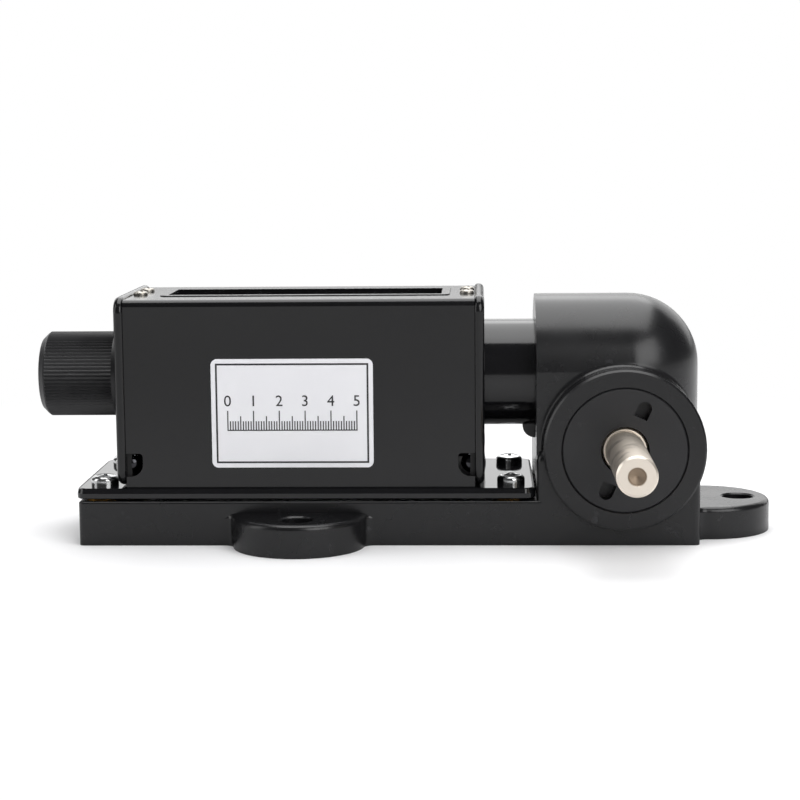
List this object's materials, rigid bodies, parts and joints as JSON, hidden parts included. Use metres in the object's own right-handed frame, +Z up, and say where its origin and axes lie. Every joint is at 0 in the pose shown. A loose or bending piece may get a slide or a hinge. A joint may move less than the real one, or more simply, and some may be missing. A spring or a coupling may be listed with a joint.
{
  "type": "length counter",
  "caption": "Length counter: a steel drive shaft in an elbow-shaped gear housing turns number drums under a top window; a ribbed side knob sets them to zero.",
  "frame": {"origin": "centre of the base block's underside, the fixing ears left out", "axes": "+X runs along the base from the knob to the gear housing, -Y points along the drive shaft to its free end (the front), +Z is up"},
  "size_m": [0.1933, 0.1062, 0.0645],
  "materials": {
    "moulding_black": "satin black moulding",
    "tray_black": "gloss black enamel on sheet steel",
    "case_black": "semi-gloss black enamel on sheet",
    "tube_black": "gloss black enamel on steel tube",
    "cap_black": "satin black turned cap",
    "knob_black": "ribbed black moulding",
    "shaft_steel": "ground steel",
    "screw_steel": "bright zinc plated steel",
    "screw_black": "blackened steel",
    "brass": "turned brass",
    "drum_black": "matt black number drum",
    "pinion_nylon": "natural nylon",
    "window_clear": "clear polished sheet",
    "bezel_black": "gloss black frame",
    "label_white": "white satin plate"
  },
  "bodies": {
    "frame": {"base_housing": "moulding_black", "bottom_plate": "tray_black", "plate_screws": "screw_steel", "brass_spacers": "brass", "case_cover": "case_black", "left_side_plate": "case_black", "right_side_plate": "case_black", "side_rivets": "screw_black", "left_angle": "case_black", "right_angle": "case_black", "angle_screws": "screw_steel", "top_screws": "screw_steel", "window_pane": "window_clear", "window_bezel": "bezel_black", "label_plate": "label_white", "connecting_tube": "tube_black", "end_cap": "cap_black", "front_bush": "brass", "rear_bush": "brass", "end_bush": "brass", "tube_bush": "brass", "reset_bush": "brass", "pinion_shaft": "shaft_steel"},
    "input_line": {"input_shaft": "shaft_steel", "drive_gear": "shaft_steel", "drive_gear_pin": "screw_steel", "retaining_ring": "screw_black", "shaft_collar": "shaft_steel"},
    "counter_line": {"counter_shaft": "shaft_steel", "driven_gear": "brass", "driven_gear_pin": "screw_steel", "drum_tenths": "drum_black"},
    "ones": {"drum_ones": "drum_black"},
    "tens": {"drum_tens": "drum_black"},
    "hundreds": {"drum_hundreds": "drum_black"},
    "thousands": {"drum_thousands": "drum_black"},
    "carry_1": {"carry_pinion_1": "pinion_nylon"},
    "carry_2": {"carry_pinion_2": "pinion_nylon"},
    "carry_3": {"carry_pinion_3": "pinion_nylon"},
    "carry_4": {"carry_pinion_4": "pinion_nylon"},
    "reset_line": {"reset_knob": "knob_black", "reset_shaft": "shaft_steel", "stop_collar": "brass", "knob_screw": "screw_black"}
  },
  "joints": [
    {"name": "input_spin", "type": "hinge", "parent": "frame", "child": "input_line", "pos_m": [0.0606, 0, 0.0248], "axis": [0, 1, 0], "continuous": true},
    {"name": "counter_spin", "type": "hinge", "parent": "frame", "child": "counter_line", "pos_m": [0, 0, 0.042], "axis": [1, 0, 0], "continuous": true},
    {"name": "ones_spin", "type": "hinge", "parent": "frame", "child": "ones", "pos_m": [0, 0, 0.042], "axis": [1, 0, 0], "continuous": true},
    {"name": "tens_spin", "type": "hinge", "parent": "frame", "child": "tens", "pos_m": [0, 0, 0.042], "axis": [1, 0, 0], "continuous": true},
    {"name": "hundreds_spin", "type": "hinge", "parent": "frame", "child": "hundreds", "pos_m": [0, 0, 0.042], "axis": [1, 0, 0], "continuous": true},
    {"name": "thousands_spin", "type": "hinge", "parent": "frame", "child": "thousands", "pos_m": [0, 0, 0.042], "axis": [1, 0, 0], "continuous": true},
    {"name": "carry_1_spin", "type": "hinge", "parent": "frame", "child": "carry_1", "pos_m": [0, 0, 0.0223], "axis": [1, 0, 0], "continuous": true},
    {"name": "carry_2_spin", "type": "hinge", "parent": "frame", "child": "carry_2", "pos_m": [0, 0, 0.0223], "axis": [1, 0, 0], "continuous": true},
    {"name": "carry_3_spin", "type": "hinge", "parent": "frame", "child": "carry_3", "pos_m": [0, 0, 0.0223], "axis": [1, 0, 0], "continuous": true},
    {"name": "carry_4_spin", "type": "hinge", "parent": "frame", "child": "carry_4", "pos_m": [0, 0, 0.0223], "axis": [1, 0, 0], "continuous": true},
    {"name": "reset_turn", "type": "hinge", "parent": "frame", "child": "reset_line", "pos_m": [0, 0, 0.042], "axis": [1, 0, 0], "continuous": true}
  ],
  "couplings": [
    {"joint": "counter_spin", "follows": "input_spin", "ratio": -0.33333},
    {"joint": "ones_spin", "follows": "input_spin", "ratio": -0.033333},
    {"joint": "tens_spin", "follows": "input_spin", "ratio": -0.0033333},
    {"joint": "hundreds_spin", "follows": "input_spin", "ratio": -0.00033333},
    {"joint": "thousands_spin", "follows": "input_spin", "ratio": -0.000033333},
    {"joint": "carry_1_spin", "follows": "input_spin", "ratio": 0.083333},
    {"joint": "carry_2_spin", "follows": "input_spin", "ratio": 0.0083333},
    {"joint": "carry_3_spin", "follows": "input_spin", "ratio": 0.00083333},
    {"joint": "carry_4_spin", "follows": "input_spin", "ratio": 0.000083333}
  ]
}
